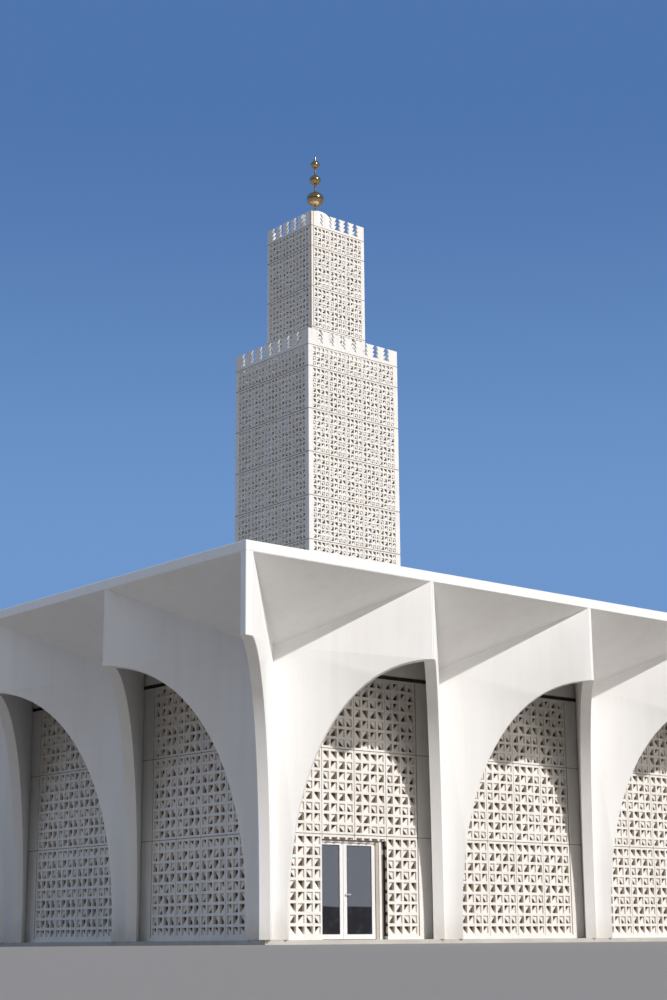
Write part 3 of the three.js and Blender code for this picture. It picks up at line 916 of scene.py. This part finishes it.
def tower_plate(tier, name, side):
    """One side of a tier: openwork, a plain foot, the joint at the shoulder and the parapet over it."""
    solid = Solid(side)
    lies_between = name in ("left", "right")
    a_start = TOWER_T + GAP if lies_between else 0
    a_end = tier["side"] - a_start
    foot = tower_openwork(solid, tier, len(name), a_start, a_end) - TOWER_JOINT
    if foot > tier["base"]:
        solid.box(a_start, a_end, 0, TOWER_T, tier["base"], foot, FACE)
    half = TOWER_JOINT / 2
    solid.box(a_start, a_end, FILLER_BACK, TOWER_T, tier["shoulder"] - half, tier["shoulder"] + half, FILLER_AND_PAINTED_SHADE)
    merlons(solid, tier, a_start, a_end)
    if tier["post"] and not lies_between:
        post_beads(solid, tier)
    cad = tier["name"] + "_" + name
    return solid.finish(cad + "_openwork", OPENWORK_MATERIALS, replaces=[cad])


def build_minaret():
    """Both tiers with their four sides each, the dome and the finial."""
    for tier in (LOWER, UPPER):
        start = TOWER_ORIGIN + Vector((tier["inset"], tier["inset"], 0))
        for name, side in four_sides(start.x, start.y, tier["side"], tier["side"]).items():
            tower_plate(tier, name, side)
    build_dome()
    build_finial()


def build_dome():
    """A half round shell on a straight band that stands on the upper deck."""
    bottom = UPPER["shoulder"] + GAP
    inner_r = DOME_R - DOME_T
    turns = [math.pi / 2 * i / DOME_RINGS for i in range(DOME_RINGS + 1)]
    inner = [(inner_r * math.cos(turn), DOME_SPRING + inner_r * math.sin(turn)) for turn in turns[::-1]]
    outer = [(DOME_R * math.cos(turn), DOME_SPRING + DOME_R * math.sin(turn)) for turn in turns]
    band = [(inner_r, bottom), (DOME_R, bottom), (DOME_R, DOME_SPRING - DOME_EDGE)]
    turned("dome_shell", inner + band + outer, DOME_STEPS, CONCRETE, ["minaret_dome"])


def build_finial():
    """A pole with three flattened balls, a collar under each, a seam round each and a pointed tip."""
    bottom = DOME_SPRING + DOME_R + GAP
    profile = [(radius, bottom + height) for radius, height in FINIAL_FOOT]
    for height, radius, squash in BALLS:
        foot, top = height - radius * squash, height + radius * squash
        start = math.asin(COLLAR_R / radius)
        profile += [(r, foot - below) for r, below in zip((POLE_R, COLLAR_R, COLLAR_R), COLLAR_BELOW)]
        for i in range(BALL_RINGS + 1):
            turn = start + i / BALL_RINGS * (math.pi - 2 * start)
            seam = SEAM if i in (BALL_RINGS // 2 - 1, BALL_RINGS // 2) else 0.0
            profile.append((radius * math.sin(turn) + seam, height - radius * squash * math.cos(turn)))
        profile += [(r, top + above) for r, above in zip((COLLAR_R, COLLAR_R, POLE_R), COLLAR_ABOVE)]
    profile += [(radius, FINIAL_TIP - below) for radius, below in FINIAL_POINT]
    turned("finial", profile, FINIAL_STEPS, GILT, ["minaret_finial"])


# Doors


def ring(solid, x0, x1, z0, z1, width, d0, d1, face=0):
    """A square-cornered frame round an opening, outside it by its width."""
    solid.box(x0 - width, x0, d0, d1, z0 - width, z1 + width, face)
    solid.box(x1, x1 + width, d0, d1, z0 - width, z1 + width, face)
    solid.box(x0, x1, d0, d1, z0 - width, z0, face)
    solid.box(x0, x1, d0, d1, z1, z1 + width, face)


def build_leaf_trim(leaf):
    """Gaskets round the pane, indoors and outdoors."""
    low, high = [corner - PLAN_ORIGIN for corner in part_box(f"door_{leaf}_glass")]
    solid = Solid(HALL["front"])
    inner = (low.x + GASKET, high.x - GASKET, low.z + GASKET, high.z - GASKET)
    ring(solid, *inner, GASKET, low.y - GASKET_OUT, low.y + GASKET_IN)
    ring(solid, *inner, GASKET, high.y - GASKET_IN, high.y + GASKET_OUT)
    solid.finish(f"door_{leaf}_gasket", [RUBBER], f"{leaf}_leaf")


def build_side_light():
    """The dark narrow light beside the doors, with one rail across it and a slim edge beside the frame."""
    x0, x1 = SIDE_PANEL_X
    solid = Solid(HALL["front"])
    panel_front, panel_back = [FRAME_FRONT + depth for depth in SIDE_PANEL_DEPTH]
    rail_back = FRAME_FRONT + SIDE_RAIL_T
    solid.box(x0, x1, panel_front, panel_back, SCREEN_BOTTOM, SIDE_PANEL_TOP, 0)
    solid.box(x0, x1, FRAME_FRONT, rail_back, *SIDE_RAIL, 1)
    solid.box(x0, x0 + SIDE_EDGE, FRAME_FRONT, rail_back, SCREEN_BOTTOM, SIDE_PANEL_TOP, 1)
    solid.finish("side_light", [SIDE_COAT, GREY_COAT], replaces=["door_side_panel"])


def build_frame_trim():
    """A thin brown strip over the doors as painted shadow, a flat beige strip on the right jamb as painted
    shade of a recess, and the raised cover of the jamb.
    """
    solid = Solid(HALL["front"])
    leaf_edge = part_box("door_right_frame")[1].x - PLAN_ORIGIN.x
    cover_edge = FRAME_RIGHT - JAMB_COVER
    front, back = FRAME_FRONT - TRIM_T, FRAME_FRONT + TRIM_T
    cover_front = FRAME_FRONT - JAMB_COVER_T
    # Thin brown strip over the doors: painted shadow of the doorway's head
    solid.box(DOORWAY[0], cover_edge, front, back, *HEAD_PAINTED_SHADOW, 0)
    # Flat beige strip beside the leaf: painted shade of a recess
    solid.box(leaf_edge, cover_edge, front, back, SCREEN_BOTTOM, HEAD_PAINTED_SHADOW[0], 1)
    solid.box(cover_edge, FRAME_RIGHT, cover_front, back, SCREEN_BOTTOM, SIDE_PANEL_TOP, 2)
    solid.finish("door_frame_trim", [SEALANT_AND_PAINTED_SHADE, JAMB_PAINTED_SHADE, WHITE_COAT])


def build_handle():
    """A round rose, a stem and a lever with rounded edges."""
    shape = bmesh.new()
    low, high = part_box("door_right_handle")
    x, z = low.x + ROSE[0], (low.z + high.z) / 2
    for radius, length in (ROSE, STEM):
        place = Matrix.Translation((x, high.y - length / 2, z)) @ Matrix.Rotation(math.pi / 2, 4, "X")
        rod = {"radius1": radius, "radius2": radius, "depth": length, "matrix": place}
        bmesh.ops.create_cone(shape, cap_ends=True, segments=HANDLE_STEPS, **rod)
    left, right = x - STEM[0], high.x
    size = Matrix.Diagonal((right - left, LEVER_T, LEVER_H, 1))
    middle = Matrix.Translation(((left + right) / 2, low.y + LEVER_MIDDLE, z))
    bmesh.ops.create_cube(shape, size=1, matrix=middle @ size)
    sharp = [e for e in shape.edges if e.calc_face_angle(0) > HANDLE_EDGE_OVER]
    bmesh.ops.bevel(shape, geom=sharp, offset=HANDLE_EDGE, segments=3, affect="EDGES", clamp_overlap=True)
    mesh = bpy.data.meshes.new("lever_handle")
    shape.to_mesh(mesh)
    shape.free()
    shade_smooth(mesh, ROUND_UNDER)
    place_piece("lever_handle", mesh, [STEEL], "right_leaf", ["door_right_handle"])


def build_doors():
    """The frame, both leaves with their panes, the side light and the handle."""
    eased("door_frame", WHITE_COAT, chamfer=0.002)
    for leaf in ("left", "right"):
        eased(f"door_{leaf}_frame", WHITE_COAT, f"{leaf}_leaf", 0.0025)
        build_leaf_trim(leaf)
        set_material(f"door_{leaf}_glass", DOOR_GLASS_PAINTED_REFLECTION)
    build_frame_trim()
    build_side_light()
    build_handle()


# The concrete that comes straight from the frame


def set_material(name, material):
    """Gives a CAD node, as it is, a material."""
    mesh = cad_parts[name].data
    mesh.materials.clear()
    mesh.materials.append(material)


def build_concrete():
    """Piers and roof with eased edges, and the slabs as they are."""
    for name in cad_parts:
        if name.startswith("pier_") or name == "roof_slab":
            eased(name, CONCRETE)
    for name in ("minaret_lower_deck", "minaret_upper_deck"):
        set_material(name, CONCRETE)
    set_material("floor_slab", FLOOR)
    set_material("roof_covering", GRAVEL)


# Floor, light and camera


def build_stage():
    """A plain pale floor."""
    mesh = bpy.data.meshes.new("stage_floor")
    turns = [2 * math.pi * k / STAGE_STEPS for k in range(STAGE_STEPS)]
    corners = [(STAGE_REACH * math.cos(turn), STAGE_REACH * math.sin(turn), 0) for turn in turns]
    mesh.from_pydata(corners, [], [list(range(STAGE_STEPS))])
    floor = bpy.data.objects.new("stage_floor", mesh)
    bpy.context.scene.collection.objects.link(floor)
    made, tree, shader, place = new_material("stage_floor", 0.9)
    clouds = noise(tree, place, 0.05, 3.0)
    tint = blended(tree, clouds, rgb(0.30, 0.275, 0.245), rgb(0.32, 0.295, 0.265))
    tree.links.new(tint, shader.inputs["Base Color"])
    mesh.materials.append(made)


def towards_key():
    """The direction from the building to the key light."""
    flat = math.cos(KEY_ELEVATION)
    return Vector((math.sin(KEY_AZIMUTH) * flat, -math.cos(KEY_AZIMUTH) * flat, math.sin(KEY_ELEVATION)))


def along(tree, direction, axis):
    """How far a direction runs along an axis."""
    made = node(tree, "ShaderNodeVectorMath", i0=direction, i1=axis)
    made.operation = "DOT_PRODUCT"
    return made.outputs["Value"]


def build_world():
    """A soft backdrop that blends four colours by direction."""
    world = bpy.data.worlds.new("studio")
    world.use_nodes = True
    tree = world.node_tree
    direction = tree.nodes.new("ShaderNodeTexCoord").outputs["Generated"]
    behind = spread(tree, along(tree, direction, CAMERA_FORWARD), *BEHIND_SPAN)
    pale = spread(tree, along(tree, direction, PALEST), *PALE_SPAN)
    near_ground = spread(tree, height_above(tree, direction), *LOW_SPAN, 1.0, 0.0)
    low = blended(tree, behind, LOW_IN_FRONT, LOW_BEHIND)
    high = blended(tree, pale, HIGH_BEHIND, HIGH_IN_FRONT)
    tree.links.new(blended(tree, near_ground, high, low), tree.nodes["Background"].inputs["Color"])
    bpy.context.scene.world = world


def far_light(name, towards, strength, colour, angle):
    """A light so far off that it comes from one direction, softer with a larger angle."""
    data = bpy.data.lights.new(name, "SUN")
    data.energy = strength
    data.color = colour
    data.angle = angle
    lamp = bpy.data.objects.new(name, data)
    lamp.rotation_mode = "QUATERNION"
    lamp.rotation_quaternion = Vector(towards).to_track_quat("Z", "Y")
    bpy.context.scene.collection.objects.link(lamp)
    return lamp


def build_lights():
    """The key, two fills that don't show in the door's glass, and plain colours."""
    far_light("key", towards_key(), KEY_STRENGTH, KEY_COLOUR, KEY_ANGLE)
    fill = far_light("fill", FILL_FROM, FILL_STRENGTH, FILL_COLOUR, FILL_ANGLE)
    low_fill = far_light("low_fill", LOW_FILL_FROM, LOW_FILL_STRENGTH, LOW_FILL_COLOUR, LOW_FILL_ANGLE)
    for lamp in (fill, low_fill):
        lamp.visible_glossy = False
    bpy.context.scene.view_settings.view_transform = "Standard"


def build_camera():
    """The camera at the photograph's angle, with its slight roll."""
    flat = math.cos(CAMERA_PITCH)
    forward = Vector((CAMERA_FORWARD[0] * flat, CAMERA_FORWARD[1] * flat, math.sin(CAMERA_PITCH)))
    right = Vector((math.sin(CAMERA_HEADING), -math.cos(CAMERA_HEADING), 0))
    up = right.cross(forward)
    c, s = math.cos(CAMERA_ROLL), math.sin(CAMERA_ROLL)
    axes = Matrix((c * right + s * up, c * up - s * right, -forward)).transposed()
    data = bpy.data.cameras.new("camera")
    data.sensor_width = SENSOR
    data.lens = FOCAL_PIXELS / PHOTO_HEIGHT * SENSOR
    data.clip_start, data.clip_end = CLIP
    camera = bpy.data.objects.new("camera", data)
    camera.matrix_world = Matrix.Translation(CAMERA_AT) @ axes.to_4x4()
    bpy.context.scene.collection.objects.link(camera)
    bpy.context.scene.camera = camera


build_camera()
build_concrete()
build_screens()
build_minaret()
build_doors()
build_stage()
build_world()
build_lights()
